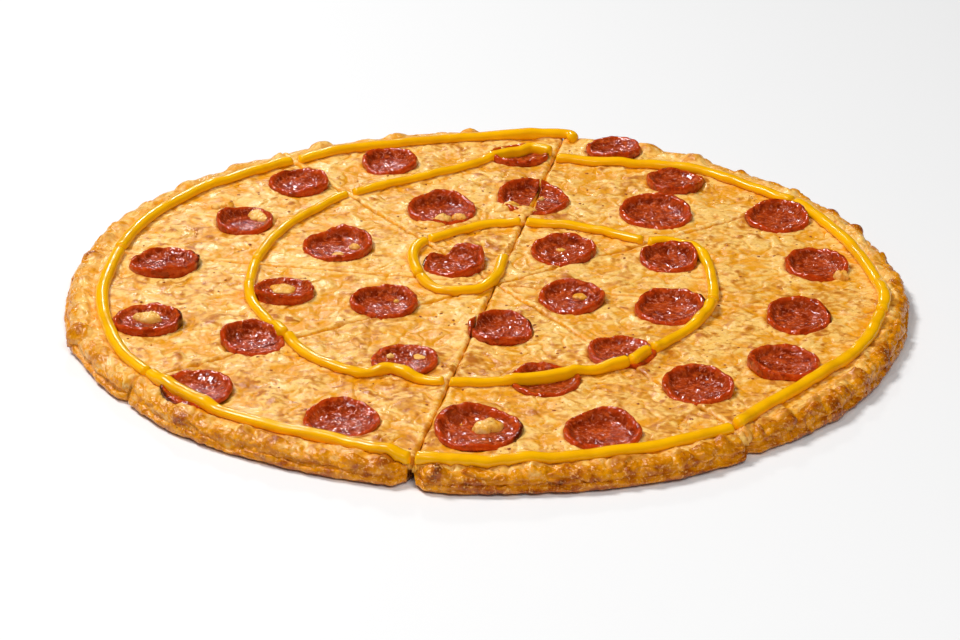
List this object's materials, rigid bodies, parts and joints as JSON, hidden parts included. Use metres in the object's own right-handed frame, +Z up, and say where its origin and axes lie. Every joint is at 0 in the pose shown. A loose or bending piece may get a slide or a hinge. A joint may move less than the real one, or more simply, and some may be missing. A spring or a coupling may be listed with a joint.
{
  "type": "pepperoni pizza",
  "caption": "Whole round thin-crust pepperoni pizza, cut into slices, with a spiral bead of mustard piped over the melted cheese.",
  "frame": {"origin": "middle of the underside, on the surface that the pizza lies on", "axes": "+Z up out of the pizza's top; -Y is the side nearest the viewer and +X is to the viewer's right"},
  "size_m": [0.3572, 0.359, 0.0169],
  "materials": {
    "dough": "baked dough, matte and rough, golden tan with toasted brown patches",
    "cheese": "melted cheese, soft oily sheen, pale cream to golden with toasted specks",
    "pepperoni": "cooked cured sausage, oily and wrinkled, brick red with darker rims",
    "mustard": "smooth glossy mustard, bright yellow"
  },
  "bodies": {
    "root": {"dough_slice_1": "dough", "dough_slice_2": "dough", "dough_slice_3": "dough", "dough_slice_4": "dough", "dough_slice_5": "dough", "dough_slice_6": "dough", "dough_slice_7": "dough", "dough_slice_8": "dough", "cheese_slice_1": "cheese", "cheese_slice_2": "cheese", "cheese_slice_3": "cheese", "cheese_slice_4": "cheese", "cheese_slice_5": "cheese", "cheese_slice_6": "cheese", "cheese_slice_7": "cheese", "cheese_slice_8": "cheese", "pepperoni_01": "pepperoni", "pepperoni_02": "pepperoni", "pepperoni_03": "pepperoni", "pepperoni_04": "pepperoni", "pepperoni_05": "pepperoni", "pepperoni_06": "pepperoni", "pepperoni_07": "pepperoni", "pepperoni_08": "pepperoni", "pepperoni_09": "pepperoni", "pepperoni_10": "pepperoni", "pepperoni_11": "pepperoni", "pepperoni_12": "pepperoni", "pepperoni_13": "pepperoni", "pepperoni_14": "pepperoni", "pepperoni_15": "pepperoni", "pepperoni_16": "pepperoni", "pepperoni_17": "pepperoni", "pepperoni_18": "pepperoni", "pepperoni_19": "pepperoni", "pepperoni_20": "pepperoni", "pepperoni_21_a": "pepperoni", "pepperoni_21_b": "pepperoni", "pepperoni_22": "pepperoni", "pepperoni_23": "pepperoni", "pepperoni_24_a": "pepperoni", "pepperoni_24_b": "pepperoni", "pepperoni_25": "pepperoni", "pepperoni_26": "pepperoni", "pepperoni_27": "pepperoni", "pepperoni_28": "pepperoni", "pepperoni_29": "pepperoni", "pepperoni_30": "pepperoni", "pepperoni_31": "pepperoni", "pepperoni_32": "pepperoni", "pepperoni_33_a": "pepperoni", "pepperoni_33_b": "pepperoni", "mustard_centre": "mustard", "mustard_inner_right": "mustard", "mustard_inner_front": "mustard", "mustard_inner_left": "mustard", "mustard_ramp": "mustard", "mustard_outer_right": "mustard", "mustard_outer_front": "mustard", "mustard_outer_back": "mustard"}
  },
  "joints": []
}
